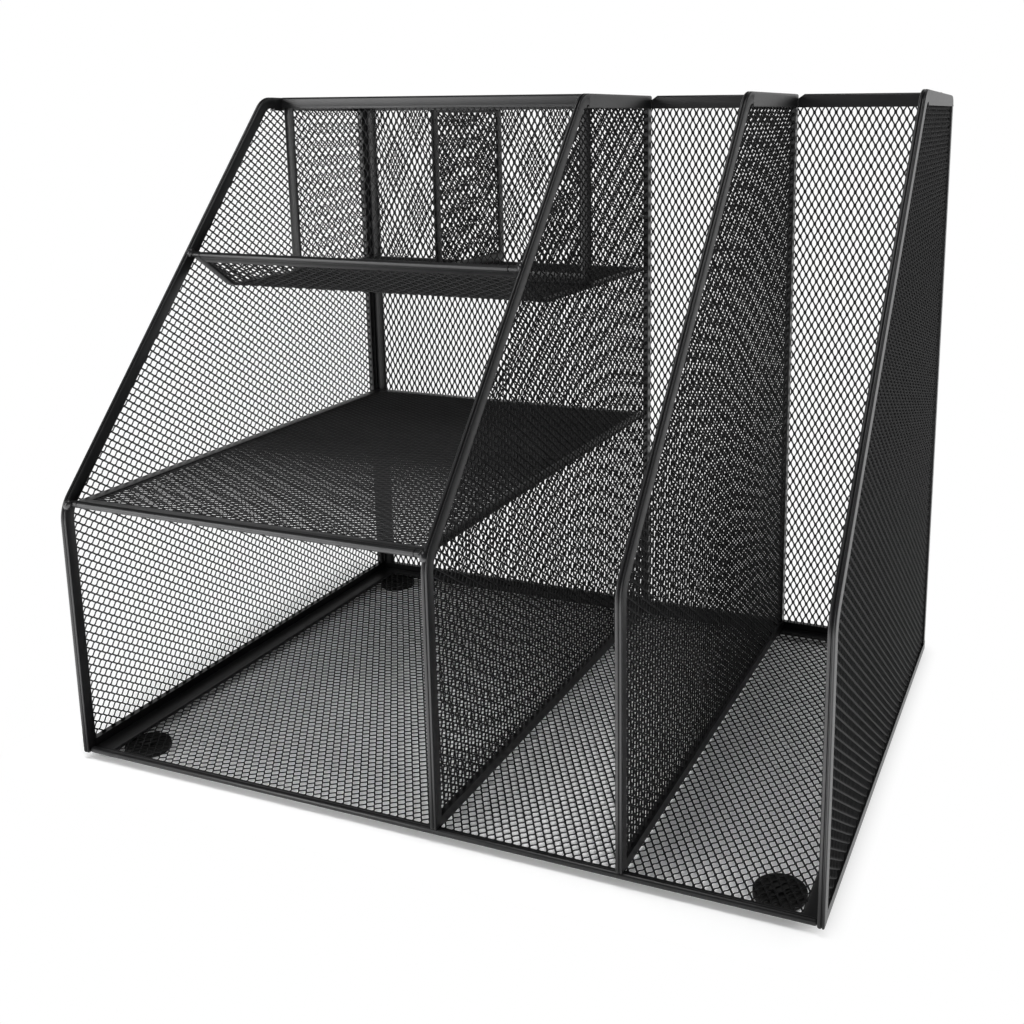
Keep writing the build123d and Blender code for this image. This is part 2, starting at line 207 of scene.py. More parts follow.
def join_parts(parts: Sequence[Part]) -> Part:
    """Puts several vertex and face lists into one.

    Args:
        parts: Vertex arrays with their faces.

    Returns:
        All vertices, and all faces numbered for them.
    """
    points, faces, start = [], [], 0
    for vertices, own_faces in parts:
        points.append(vertices)
        faces.extend(tuple(index + start for index in face) for face in own_faces)
        start += len(vertices)
    return np.concatenate(points), faces


def sweep(origins: Sequence[Direction], across: Direction, up: Direction, sections: Sequence,
          closed: bool = False) -> Part:
    """Carries a section along a line of stations.

    Args:
        origins: Station centres, in millimetres, one row each.
        across: Direction of the section's first coordinate, one for all stations or one for each.
        up: Direction of its second coordinate, one for all stations or one for each.
        sections: Section outline, one for all stations or one for each.
        closed: Whether the last station joins the first.

    Returns:
        Vertices in millimetres and faces.
    """
    outlines = np.array(sections, float)
    if outlines.ndim == 2:
        outlines = np.repeat(outlines[None], len(origins), 0)
    across, up = np.atleast_2d(np.array(across, float)), np.atleast_2d(np.array(up, float))
    count, points = outlines.shape[:2]
    first, second = outlines[:, :, :1], outlines[:, :, 1:]
    grid = np.array(origins, float)[:, None, :] + first * across[:, None, :] + second * up[:, None, :]
    faces: list[tuple[int, ...]] = []
    for station in range(count if closed else count - 1):
        here, there = station * points, (station + 1) % count * points
        for corner in range(points):
            after = (corner + 1) % points
            faces.append((here + corner, here + after, there + after, there + corner))
    if not closed:
        faces.append(tuple(reversed(range(points))))
        faces.append(tuple(range((count - 1) * points, count * points)))
    return grid.reshape(-1, 3), faces


def turned_bar(ends: tuple[float, float], middle: tuple[float, float], outline: Outline, profile: Outline) -> Part:
    """Round bar along X whose two ends are turned alike.

    Args:
        ends: X of its left and right end.
        middle: Y and Z of its middle line.
        outline: Its round section at full size.
        profile: Distances from an end with the section's share of full size there, from the end inwards.

    Returns:
        Vertices and faces.
    """
    stations = [(ends[0] + place, size) for place, size in profile]
    stations += [(ends[1] - place, size) for place, size in reversed(profile)]
    circle = np.array(outline)
    return sweep([(x, *middle) for x, _ in stations], Y_AXIS, Z_AXIS, [circle * size for _, size in stations])


def make_piece(name: str, parts: Sequence[Part], material: bpy.types.Material,
               replaced: Sequence[str], sharp_angle: float) -> bpy.types.Object:
    """Makes one object of mesh parts, faces turned outwards, and ties it to the frame.

    Args:
        name: Name of the piece.
        parts: Vertex arrays in millimetres with their faces.
        material: Its material.
        replaced: CAD nodes that it stands for.
        sharp_angle: Edges bent by more degrees than this stay crisp.

    Returns:
        The new object.
    """
    points, faces = join_parts(parts)
    mesh = bpy.data.meshes.new(name)
    mesh.from_pydata((points * MM).tolist(), [], faces)
    mesh.validate()
    work = bmesh.new()
    work.from_mesh(mesh)
    bmesh.ops.recalc_face_normals(work, faces=work.faces)
    work.to_mesh(mesh)
    work.free()
    mesh.shade_smooth()
    mesh.set_sharp_from_angle(angle=math.radians(sharp_angle))
    return tie(bpy.data.objects.new(name, mesh), material, replaced)


def tie(piece: bpy.types.Object, material: bpy.types.Material,
        replaced: Sequence[str]) -> bpy.types.Object:
    """Links a piece to the scene, dresses it and ties it to the one body.

    Args:
        piece: Object with its mesh in place.
        material: Its material.
        replaced: CAD nodes that it stands for.

    Returns:
        The same object.
    """
    bpy.context.scene.collection.objects.link(piece)
    piece.data.materials.append(material)
    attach(piece, "root")
    if replaced:
        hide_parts(*replaced)
    LOG.info("%s: %d faces", piece.name, len(piece.data.polygons))
    return piece


@dataclass
class SubAssembly:
    """Sub-assembly dressed in the shared finishes."""

    finishes: Finishes

    def build(self) -> None:
        """Builds its pieces."""
        raise NotImplementedError

    def fold(self, name: str, parts: Sequence[Part], replaced: Sequence[str], sharp_angle: float = 38.0) -> None:
        """Makes a piece of coated steel strip or bar."""
        make_piece(name, parts, self.finishes.frame, replaced, sharp_angle)


# ---------------------------------------------------------------- sections


def arc(centre: tuple[float, float], radius: float, start: float, end: float, steps: int) -> Outline:
    """Points of an arc.

    Args:
        centre: Its centre.
        radius: Its radius.
        start: First angle in degrees.
        end: Last angle in degrees.
        steps: How many runs it is drawn in.

    Returns:
        The points, both ends included.
    """
    angles = np.radians(np.linspace(start, end, steps + 1))
    return [(centre[0] + radius * math.cos(a), centre[1] + radius * math.sin(a)) for a in angles]


@dataclass(frozen=True)
class FoldedHem:
    """Steel strip folded over the edge of a net and pressed flat, in millimetres."""

    width: float = 2.8
    depth: float = 5.4
    wide_ridge_round: float = 0.7
    thin_ridge_foot: float = 0.62
    thin_ridge_rise: float = 0.55
    groove_middle: float = 0.25
    groove_half_width: float = 0.2
    groove_floor_half: float = 0.1
    groove_floor_depth: float = 0.68
    free_edge_chamfer: float = 0.25
    corner_radius: float = 1.0
    lip: float = 0.12
    thin_lip: float = 0.08
    lip_start: float = 0.7
    lip_full: float = 0.45

    def front_section(self) -> Outline:
        """Outline of the front rim across its fold: a wide ridge, a groove and a thin ridge in front.

        Returns:
            Points as (across, depth behind the fold).
        """
        half, chamfer = self.width / 2, self.free_edge_chamfer
        left_edge = self.groove_middle - self.groove_half_width
        right_edge = self.groove_middle + self.groove_half_width
        left_middle, left_half = (left_edge - half) / 2, (left_edge + half) / 2
        right_middle, right_half = (right_edge + half) / 2, (half - right_edge) / 2
        section = [(-half, self.depth - chamfer)]
        for angle in np.radians((180, 160, 135, 110, 90, 70, 45, 25)):
            rise = self.wide_ridge_round * math.sin(angle)
            section.append((left_middle + left_half * math.cos(angle), self.wide_ridge_round - rise))
        section.append((self.groove_middle - self.groove_floor_half, self.groove_floor_depth))
        section.append((self.groove_middle + self.groove_floor_half, self.groove_floor_depth))
        for angle in np.radians((155, 130, 100, 75, 45, 20, 0)):
            rise = self.thin_ridge_rise * math.sin(angle)
            section.append((right_middle + right_half * math.cos(angle), self.thin_ridge_foot - rise))
        section += [(half, self.depth - chamfer), (half - chamfer, self.depth), (chamfer - half, self.depth)]
        return section

    def plain_section(self, length: float, lip: float) -> Outline:
        """Outline of a plain fold with a rounded back and a thin lip along its free edges.

        Args:
            length: Size from the fold to the free edges.
            lip: How far the free edges stand out.

        Returns:
            Points as (across, depth behind the fold).
        """
        edge, corner = self.width / 2, self.corner_radius
        half = edge - lip
        section = [(edge, length), (edge, length - self.lip_full), (half, length - self.lip_start)]
        section += arc((half - corner, corner), corner, 0, -90, 4)
        section += arc((corner - half, corner), corner, -90, -180, 4)
        section += [(-half, length - self.lip_start), (-edge, length - self.lip_full), (-edge, length)]
        return section

    def lowered_sections(self, length: float, drops: Sequence[float]) -> list[np.ndarray]:
        """Plain sections whose fold is pressed down at some stations, while the free edges stay.

        Args:
            length: Size from the fold to the free edges.
            drops: How far down the fold is at each station.

        Returns:
            One outline for each station.
        """
        base = np.array(self.plain_section(length, self.lip))
        folded = base[:, 1] < length - self.corner_radius
        return [base + np.outer(folded, (0.0, drop)) for drop in drops]


def flat_strip_section(inner: float, outer: float, low: float, high: float, squash: float = 0.6) -> Outline:
    """Outline of a flat folded strip with rounded long edges.

    Args:
        inner: Across coordinate of one edge.
        outer: Across coordinate of the other edge.
        low: Underside.
        high: Upper side.
        squash: How deep the rounding of an edge is, as a share of half the thickness.

    Returns:
        Points as (across, height).
    """
    radius, middle = (high - low) / 2, (low + high) / 2
    first, last = min(inner, outer) + radius, max(inner, outer) - radius
    shift = radius * (1 - squash)
    left = [(first + squash * (x - first) - shift, y) for x, y in arc((first, middle), radius, 270, 90, 6)]
    right = [(last + squash * (x - last) + shift, y) for x, y in arc((last, middle), radius, 90, -90, 6)]
    return left + right


def ring_strip(low: tuple[float, float], high: tuple[float, float], widths: tuple[float, float, float, float],
               heights: tuple[float, float], axes: tuple[Direction, Direction, Direction],
               origin: Direction = (0, 0, 0)) -> Part:
    """Flat folded strip round a rectangle, with mitred corners.

    Args:
        low: Outer corner with the smallest coordinates.
        high: Outer corner with the largest coordinates.
        widths: Strip widths at the low first, low second, high first and high second edges.
        heights: Underside and upper side along the third axis.
        axes: Directions of the first, second and third coordinate.
        origin: Place of the coordinates' origin.

    Returns:
        Vertices and faces.
    """
    first, second, third = (np.array(axis, float) for axis in axes)
    outer = [(low[0], low[1]), (high[0], low[1]), (high[0], high[1]), (low[0], high[1])]
    inner = [
        (low[0] + widths[0], low[1] + widths[1]),
        (high[0] - widths[2], low[1] + widths[1]),
        (high[0] - widths[2], high[1] - widths[3]),
        (low[0] + widths[0], high[1] - widths[3]),
    ]
    thickness = heights[1] - heights[0]
    origins, across = [], []
    for (outer_a, outer_b), (inner_a, inner_b) in zip(outer, inner):
        origins.append(np.array(origin, float) + outer_a * first + outer_b * second + heights[0] * third)
        across.append((inner_a - outer_a) * first + (inner_b - outer_b) * second)
    rounding = thickness / min(widths)
    shaped = []
    for x, y in flat_strip_section(0.0, 1.0, 0.0, 1.0):
        edge = 0.5 - abs(x - 0.5)
        shaped.append((0.5 + math.copysign(0.5 - edge * rounding, x - 0.5), y))
    return sweep(origins, across, thickness * third, shaped, closed=True)


def weld_bead(centre: Sequence[float], axis: Sequence[float], length: float, radius: float, seed: float) -> Part:
    """Small lumpy weld fillet.

    Args:
        centre: Its middle, in millimetres.
        axis: Direction of its length.
        length: Full length.
        radius: Radius at the middle.
        seed: Number that varies its lumps.

    Returns:
        Vertices and faces.
    """
    along = Vector(axis).normalized()
    side = along.orthogonal().normalized()
    stations, ring, blunt = 9, 12, 0.985
    origins, sections = [], []
    for step in range(stations):
        t = -1 + 2 * step / (stations - 1)
        origins.append(np.array(centre, float) + np.array(along) * length / 2 * t)
        thick = radius * math.sqrt(max(1 - (blunt * t) ** 2, 0.0))
        section = []
        for spoke in range(ring):
            angle = 2 * math.pi * spoke / ring
            lump = 1 + 0.05 * math.sin(3 * angle + 5 * t + seed) + 0.04 * math.sin(7 * t + 2 * angle + 2 * seed)
            section.append((thick * lump * math.cos(angle), thick * lump * math.sin(angle)))
        sections.append(section)
    return sweep(origins, side, along.cross(side), sections)


# ---------------------------------------------------------------- expanded steel


def flat(origin: Direction, across: Direction, along: Direction, normal: Direction) -> Place:
    """Lays a net in a plane.

    Args:
        origin: Place of the net's origin, in millimetres.
        across: Direction across the strands.
        along: Direction along them.
        normal: Direction out of the sheet. A shorter one flattens the strands' relief.

    Returns:
        Function that turns across, along and normal coordinates into places.
    """
    axes = np.array([across, along, normal], float)
    return lambda *coordinates: np.array(origin, float) + np.stack(coordinates, -1) @ axes


def even(first: float, last: float) -> Reach:
    """Gives every strand the same start and end."""
    return lambda _: (first, last)


def strand_faces(count: int) -> np.ndarray:
    """Four-cornered faces of one closed strand.

    Args:
        count: How many stations of four corners it has.

    Returns:
        One row of four vertex numbers for each face.
    """
    corner, base = np.arange(4), 4 * np.arange(count - 1)[:, None]
    after = (corner + 1) % 4
    sides = np.stack([base + corner, base + 4 + corner, base + 4 + after, base + after], -1)
    tip = 4 * (count - 1)
    return np.concatenate([sides.reshape(-1, 4), [[0, 1, 2, 3], [tip + 3, tip + 2, tip + 1, tip]]])


def quad_mesh(name: str, points: np.ndarray, faces: np.ndarray, plan: np.ndarray) -> bpy.types.Mesh:
    """Smooth mesh of four-cornered faces, with the strands laid flat for baking.

    Args:
        name: Name of the mesh.
        points: Vertices in metres.
        faces: Vertex numbers, one row for each face.
        plan: Flat places of the vertices.

    Returns:
        The new mesh.
    """
    mesh = bpy.data.meshes.new(name)
    mesh.vertices.add(len(points))
    mesh.vertices.foreach_set("co", points.astype(np.float32).ravel())
    mesh.loops.add(faces.size)
    mesh.loops.foreach_set("vertex_index", faces.astype(np.int32).ravel())
    mesh.polygons.add(len(faces))
    mesh.polygons.foreach_set("loop_start", np.arange(0, faces.size, 4, dtype=np.int32))
    mesh.update(calc_edges=True)
    layer = mesh.uv_layers.new(name="OFBake")
    spread = (plan - plan.min(0)) / (plan.max(0) - plan.min(0)).max()
    layer.data.foreach_set("uv", spread[faces.ravel()].astype(np.float32).ravel())
    mesh.shade_smooth()
    return mesh


@dataclass(frozen=True)
class ExpandedNet:
    """Raised expanded steel: strands that zigzag between bonds, each tilted out of the sheet, in millimetres."""

    short_pitch: float
    long_pitch: float
    strand_width: float = 0.78
    coated_thickness: float = 0.42
    strand_tilt: float = 50.0
    bond_length: float = 1.2
    knot_clearance: float = 0.05
    shortest_strand: float = 1.0

    def strand(self, row: int, low: float, high: float) -> tuple[np.ndarray, np.ndarray, np.ndarray]:
        """Corner points of one strand.

        Args:
            row: Its number across the net.
            low: Where it starts along the net.
            high: Where it ends.

        Returns:
            Across, along and normal coordinates, each as samples by four corners.
        """
        half_long, half_bond = self.long_pitch / 2, self.bond_length / 2
        steps = np.arange(math.floor(low / half_long) - 1, math.ceil(high / half_long) + 2)
        knots = np.stack([steps * half_long - half_bond, steps * half_long + half_bond], 1).ravel()
        swings = np.repeat(np.where(steps % 2 == 0, 1.0, -1.0), 2)
        inside = (knots > low + self.knot_clearance) & (knots < high - self.knot_clearance)
        along = np.concatenate([[low], knots[inside], [high]])
        swing = np.interp(along, knots, swings) * (1 if row % 2 == 0 else -1)
        tilt = math.radians(self.strand_tilt)
        wide = self.strand_width / 2 * np.array([-1, 1, 1, -1])
        thick = self.coated_thickness / 2 * np.array([-1, -1, 1, 1])
        travel = (self.short_pitch / 2 - self.strand_width * math.cos(tilt)) / 2
        across = row * self.short_pitch / 2 + travel * swing[:, None]
        across = across + (wide * math.cos(tilt) - thick * math.sin(tilt))[None, :]
        lift = -swing * self.strand_width / 2 * math.sin(tilt)
        normal = lift[:, None] + (wide * math.sin(tilt) + thick * math.cos(tilt))[None, :]
        return across, np.repeat(along[:, None], 4, 1), normal

    def net(self, name: str, limits: tuple[float, float], reach: Reach, place: Place,
            finishes: Finishes, replaced: Sequence[str]) -> None:
        """Builds a net of strands and ties it to the frame.

        Args:
            name: Name of the piece.
            limits: First and last coordinate across the strands.
            reach: Gives where the strand at a coordinate starts and ends.
            place: Turns across, along and normal coordinates into places in millimetres.
            finishes: Materials.
            replaced: CAD nodes that it stands for.
        """
        low, high = limits
        half_short = self.short_pitch / 2
        all_points, all_faces, all_plan, start = [], [], [], 0
        for row in range(math.ceil(low / half_short), math.floor(high / half_short) + 1):
            first, last = reach(row * half_short)
            if last - first < self.shortest_strand:
                continue
            across, along, normal = self.strand(row, first, last)
            all_points.append(place(across, along, normal).reshape(-1, 3))
            all_plan.append(np.stack([across, along], -1).reshape(-1, 2))
            all_faces.append(start + strand_faces(len(along)))
            start += along.size
        faces = np.concatenate(all_faces)
        probe = place(np.array([low, low + 1, low, low]), np.array([0.0, 0, 1, 0]), np.array([0.0, 0, 0, 1]))
        if np.linalg.det(probe[1:] - probe[0]) < 0:
            faces = faces[:, ::-1]
        mesh = quad_mesh(name, np.concatenate(all_points) * MM, faces, np.concatenate(all_plan))
        tie(bpy.data.objects.new(name, mesh), finishes.mesh, replaced)


# Each sheet is stretched a little differently as it is expanded, by what the photograph shows
WALL_NET = ExpandedNet(3.68, 6.6, strand_tilt=46.0, bond_length=1.3)
SIDE_NET = ExpandedNet(3.94, 6.0)
FLOOR_NET = ExpandedNet(3.72, 6.1)
TRAY_NET = ExpandedNet(3.66, 6.44)
SHELF_NET = ExpandedNet(3.66, 6.44, strand_width=0.52, coated_thickness=0.38)
HEM = FoldedHem()


# ---------------------------------------------------------------- upright panels


@dataclass
class UprightPanel(SubAssembly):
    """Side panel or divider: net, folded front rim, cap, foot hem and back hem."""

    name: str
    stands_on_floor: bool
    front_height: float = 115.6
    top_setback: float = 156.1
    kink_radius: float = 18.0
    crest_radius: float = 13.5
    foot_height: float = 3.0
    arc_step: float = 4.0
    tip_length: float = 1.3
    tip_shares: tuple[float, float] = (0.45, 0.72)
    cap_height: float = 6.7
    cap_overlap: float = 0.4
    cap_corner_radius: float = 4.0
    cap_fall: float = 1.4
    foot_overrun: float = 0.3
    back_overruns: tuple[float, float] = (0.2, 0.4)
    net_rim_tuck: float = 1.2
    net_crest_tuck: float = 1.3
    net_cap_tuck: float = 3.0

    def __post_init__(self) -> None:
        """Reads the panel's places from the frame."""
        rim_low, rim_high = box_mm(f"{self.name}_rim")
        self.x = (rim_low[0] + rim_high[0]) / 2
        self.front_y, self.rim_start, self.top_z = rim_low[1], rim_low[2], rim_high[2]
        self.run_end = rim_high[1]
        self.back_y = box_mm(f"{self.name}_cap")[1][1]
        self.rail_low, self.rail_high = box_mm(f"{self.name}_foot_rail")

    def front_path(self) -> tuple[np.ndarray, np.ndarray]:
        """Line of the folded rim, from the foot to just past the crest.

        Returns:
            Points as (Y, Z), and the unit directions into the panel.
        """
        corners = np.array([
            (self.front_y, self.rim_start),
            (self.front_y, self.foot_height + self.front_height),
            (self.front_y + self.top_setback, self.top_z),
            (self.run_end, self.top_z),
        ], float)
        directions = [(b - a) / np.linalg.norm(b - a) for a, b in zip(corners, corners[1:])]
        inward = [np.array([d[1], -d[0]]) for d in directions]
        points, normals = [corners[0]], [inward[0]]
        for index, radius in ((1, self.kink_radius), (2, self.crest_radius)):
            before, after = directions[index - 1], directions[index]
            turn = math.acos(float(np.clip(before @ after, -1, 1)))
            start = corners[index] - before * radius * math.tan(turn / 2)
            centre = start + inward[index - 1] * radius
            steps = max(6, math.ceil(math.degrees(turn) / self.arc_step))
            from_angle = math.atan2(*(-inward[index - 1])[::-1])
            for step in range(steps + 1):
                angle = from_angle - turn * step / steps
                ray = np.array([math.cos(angle), math.sin(angle)])
                points.append(centre + radius * ray)
                normals.append(-ray)
        points.append(corners[3])
        normals.append(inward[2])
        return np.array(points), np.array(normals)

    def rim(self) -> None:
        """Folded rim with a rounded lower tip."""
        path, inward = self.front_path()
        lead = [0.0, 0.15, 0.45, 0.85, self.tip_length]
        origins = [(self.x, self.front_y, self.rim_start + rise) for rise in lead]
        origins += [(self.x, y, z) for y, z in path[1:]]
        ups = [(0.0, 1.0, 0.0)] * len(lead) + [(0.0, ny, nz) for ny, nz in inward[1:]]
        base, middle = np.array(HEM.front_section()), np.array([0.0, HEM.depth])
        least = np.array(self.tip_shares)
        sections = []
        for rise in lead:
            keep = math.sqrt(max(1 - ((self.tip_length - rise) / self.tip_length) ** 2, 0.0))
            sections.append(middle + (base - middle) * (least + (1 - least) * keep))
        sections += [base] * (len(path) - 1)
        self.fold(f"{self.name}_folded_rim", [sweep(origins, X_AXIS, ups, sections)], [f"{self.name}_rim"], 50)

    def cap(self) -> None:
        """Level cap folded over the top edge, rounded at the back corner of the side panels."""
        stations = [(self.run_end - self.cap_overlap, 0.0), (self.run_end + 1.0, 0.0)]
        if self.stands_on_floor:
            stations.append((self.back_y, 0.0))
        else:
            radius = self.cap_corner_radius
            for angle in np.radians(range(0, 91, 10)):
                drop = self.cap_fall + radius * (1 - math.cos(angle))
                stations.append((self.back_y - radius + math.sin(angle) * radius, drop))
        sections = HEM.lowered_sections(self.cap_height, [drop for _, drop in stations])
        part = sweep([(self.x, y, self.top_z) for y, _ in stations], X_AXIS, -Z_AXIS, sections)
        self.fold(f"{self.name}_folded_cap", [part], [f"{self.name}_cap"])

    def foot_hem(self) -> None:
        """Plain folded hem along the bottom edge."""
        low, high = self.rail_low, self.rail_high
        ends = [(self.x, low[1] - self.foot_overrun, low[2]), (self.x, high[1], low[2])]
        part = sweep(ends, X_AXIS, Z_AXIS, HEM.plain_section(high[2] - low[2], HEM.thin_lip))
        self.fold(f"{self.name}_foot_hem", [part], [f"{self.name}_foot_rail"])

    def back_hem(self) -> None:
        """Plain folded hem up the back edge."""
        low, high = box_mm(f"{self.name}_back_strip")
        below, above = self.back_overruns
        ends = [(self.x, high[1], low[2] - below), (self.x, high[1], high[2] + above)]
        part = sweep(ends, X_AXIS, -Y_AXIS, HEM.plain_section(HEM.depth, HEM.thin_lip))
        self.fold(f"{self.name}_back_hem", [part], [f"{self.name}_back_strip"])

    def net(self) -> None:
        """Expanded net whose edges lie inside the hems, with diamonds that lie along the depth."""
        path, inward = self.front_path()
        line = path + inward * (HEM.depth - self.net_rim_tuck)
        keep = line[:, 1] < self.top_z - HEM.depth + self.net_crest_tuck
        front_z, front_y = line[keep, 1], line[keep, 0]
        back = self.back_y - NET_TUCK

        def reach(z: float) -> tuple[float, float]:
            """Where the strand at a height starts and ends."""
            return float(np.interp(z, front_z, front_y)), back

        limits = (self.rail_high[2] - NET_TUCK, self.top_z - self.cap_height + self.net_cap_tuck)
        place = flat((self.x, 0, 0), Z_AXIS, Y_AXIS, X_AXIS)
        SIDE_NET.net(f"{self.name}_net", limits, reach, place, self.finishes, [f"{self.name}_mesh"])

    def build(self) -> None:
        """Builds the five pieces."""
        self.rim()
        self.cap()
        self.foot_hem()
        self.back_hem()
        self.net()


# ---------------------------------------------------------------- back wall


@dataclass
class BackWall(SubAssembly):
    """Back net in two halves, its corner strips, foot hem and three caps."""

    cap_height: float = 6.7
    chamfer_length: float = 3.0
    chamfer_height: float = 2.0
    split_x: float = 2.0
    corner_strip_thickness: float = 2.0
    corner_strip_overrun: float = 0.5
    net_foot_overrun: float = 1.5
    net_top_gap: float = 0.5
    net_side_gap: float = 1.0

    def caps(self) -> None:
        """One cap over each bay, with its ends cut slanting."""
        fall = self.chamfer_height
        sections = HEM.lowered_sections(self.cap_height, (fall, 0.0, 0.0, fall))
        for bay in ("desk_bay", "first_slot", "second_slot"):
            node = f"back_wall_{bay}_cap"
            low, high = box_mm(node)
            middle_y = (low[1] + high[1]) / 2
            places = (low[0], low[0] + self.chamfer_length, high[0] - self.chamfer_length, high[0])
            part = sweep([(x, middle_y, high[2]) for x in places], Y_AXIS, -Z_AXIS, sections)
            self.fold(f"back_wall_{bay}_folded_cap", [part], [node])

    def hems(self) -> None:
        """Foot hem and the two corner strips."""
        low, high = box_mm("back_wall_foot_rail")
        middle_y = (low[1] + high[1]) / 2
        section = HEM.plain_section(high[2] - low[2], HEM.thin_lip)
        foot = sweep([(low[0], middle_y, low[2]), (high[0], middle_y, low[2])], Y_AXIS, Z_AXIS, section)
        self.fold("back_wall_foot_hem", [foot], ["back_wall_foot_rail"])
        for side in ("left", "right"):
            node = f"back_wall_{side}_strip"
            low, high = box_mm(node)
            middle_x, half = (low[0] + high[0]) / 2, (high[0] - low[0]) / 2
            over = self.corner_strip_overrun
            ends = [(middle_x, high[1], low[2] - over), (middle_x, high[1], high[2] + over)]
            section = flat_strip_section(-half, half, 0.0, self.corner_strip_thickness)
            self.fold(f"back_wall_{side}_corner_strip", [sweep(ends, X_AXIS, -Y_AXIS, section)], [node])

    def nets(self) -> None:
        """Expanded net with upright diamonds, in two halves that share one pattern."""
        low, high = box_mm("back_wall_mesh")
        reach = even(low[2] - self.net_foot_overrun, high[2] - self.net_top_gap)
        place = flat((0, (low[1] + high[1]) / 2, 0), X_AXIS, Z_AXIS, Y_AXIS)
        left = (low[0] + self.net_side_gap, self.split_x)
        right = (self.split_x + SPLIT_GAP, high[0] - self.net_side_gap)
        WALL_NET.net("back_wall_left_net", left, reach, place, self.finishes, ["back_wall_mesh"])
        WALL_NET.net("back_wall_right_net", right, reach, place, self.finishes, [])

    def build(self) -> None:
        """Builds the wall."""
        self.caps()
        self.hems()
        self.nets()


# ---------------------------------------------------------------- floor


@dataclass
class Floor(SubAssembly):
    """Floor net in two halves, the folded strip round it and the round front rim."""

    left_strip_width: float = 10.8
    right_strip_width: float = 6.6
    back_strip_width: float = 7.0
    front_strip_start: float = 2.4
    front_strip_end: float = 5.5
    strip_rise: float = 0.15
    split_x: float = 12.0
    relief: float = 0.8

    def rim(self) -> None:
        """Round rim with rounded ends."""
        low, high = box_mm("floor_front_rim")
        radius = (high[2] - low[2]) / 2
        profile = [(0.0, 0.45), (0.35, 0.8), (0.9, 1.0)]
        middle = (low[1] + radius, high[2] - radius)
        bar = turned_bar((low[0], high[0]), middle, arc((0, 0), radius, 0, 330, 11), profile)
        self.fold("floor_round_rim", [bar], ["floor_front_rim"], 60)

    def strip_and_nets(self) -> None:
        """Folded strip, and the net inside it in two halves that share one pattern."""
        front_y = box_mm("left_side_rim")[0][1]
        low, high = box_mm("floor_mesh")
        start = self.front_strip_start
        ring = ring_strip(
            (low[0], front_y + start),
            (high[0], high[1]),
            (self.left_strip_width, self.front_strip_end - start, self.right_strip_width, self.back_strip_width),
            (box_mm("floor_edge_strip")[0][2], high[2] + self.strip_rise),
            (X_AXIS, Y_AXIS, Z_AXIS),
        )
        self.fold("floor_folded_strip", [ring], ["floor_edge_strip"])
        reach = even(front_y + self.front_strip_end - NET_TUCK, high[1] - self.back_strip_width + NET_TUCK)
        place = flat((0, 0, (low[2] + high[2]) / 2), X_AXIS, Y_AXIS, self.relief * Z_AXIS)
        left = (low[0] + self.left_strip_width - NET_TUCK, self.split_x)
        right = (self.split_x + SPLIT_GAP, high[0] - self.right_strip_width + NET_TUCK)
        FLOOR_NET.net("floor_left_net", left, reach, place, self.finishes, ["floor_mesh"])
        FLOOR_NET.net("floor_right_net", right, reach, place, self.finishes, [])

    def build(self) -> None:
        """Builds the floor."""
        self.rim()
        self.strip_and_nets()


# ---------------------------------------------------------------- shelf and tray


@dataclass
class RoundRail(SubAssembly):
    """Round rail across the desk bay, with a neck and a weld near each end."""

    node: str
    name: str
    neck: float
    weld_shift: tuple[float, float]
    weld_length: float = 5.2
    weld_radius: float = 1.85
    weld_overhang: float = 0.2

    def build(self) -> None:
        """Builds the rail and its welds, whose middles lie a little off the rail's own."""
        low, high = box_mm(self.node)
        middle = ((low[1] + high[1]) / 2, (low[2] + high[2]) / 2)
        neck = self.neck
        profile = [
            (0.0, 0.96), (neck - 1.0, 1.0), (neck - 0.45, 0.97), (neck - 0.2, 0.8), (neck + 0.2, 0.78),
            (neck + 0.5, 1.0),
        ]
        bar = turned_bar((low[0], high[0]), middle, arc((0, 0), (high[2] - low[2]) / 2, 0, 345, 23), profile)
        self.fold(self.name, [bar], [self.node], 40)
        beads = []
        for number, (x, side) in enumerate(((low[0], 1), (high[0], -1))):
            centre = (x - side * self.weld_overhang, middle[0] + self.weld_shift[0], middle[1] + self.weld_shift[1])
            beads.append(weld_bead(centre, (side * 0.5, 0.3, 1), self.weld_length, self.weld_radius, number + 1.0))
        make_piece(f"{self.name}_welds", beads, self.finishes.weld, [], 80)


@dataclass
class Shelf(SubAssembly):
    """Level shelf: net, folded strip and round front rail."""

    strip_width: float = 5.5
    strip_side_gap: float = 0.2
    strip_front_overrun: float = 0.4
    strip_rise: float = 0.1

    def build(self) -> None:
        """Builds the shelf, whose diamonds lie across the bay."""
        RoundRail(self.finishes, "shelf_front_rail", "shelf_round_rail", 4.2, (-1.8, -0.2)).build()
        low, high = box_mm("shelf_mesh")
        width, gap = self.strip_width, self.strip_side_gap
        ring = ring_strip(
            (low[0] + gap, low[1] - self.strip_front_overrun),
            (high[0] - gap, high[1]),
            (width, width, width, width),
            (box_mm("shelf_edge_strip")[0][2], high[2] + self.strip_rise),
            (X_AXIS, Y_AXIS, Z_AXIS),
        )
        self.fold("shelf_folded_strip", [ring], ["shelf_edge_strip"])
        inset = width - NET_TUCK
        place = flat((0, 0, (low[2] + high[2]) / 2), Y_AXIS, X_AXIS, Z_AXIS)
        limits, reach = (low[1] + inset, high[1] - inset), even(low[0] + inset, high[0] - inset)
        SHELF_NET.net("shelf_net", limits, reach, place, self.finishes, ["shelf_mesh"])


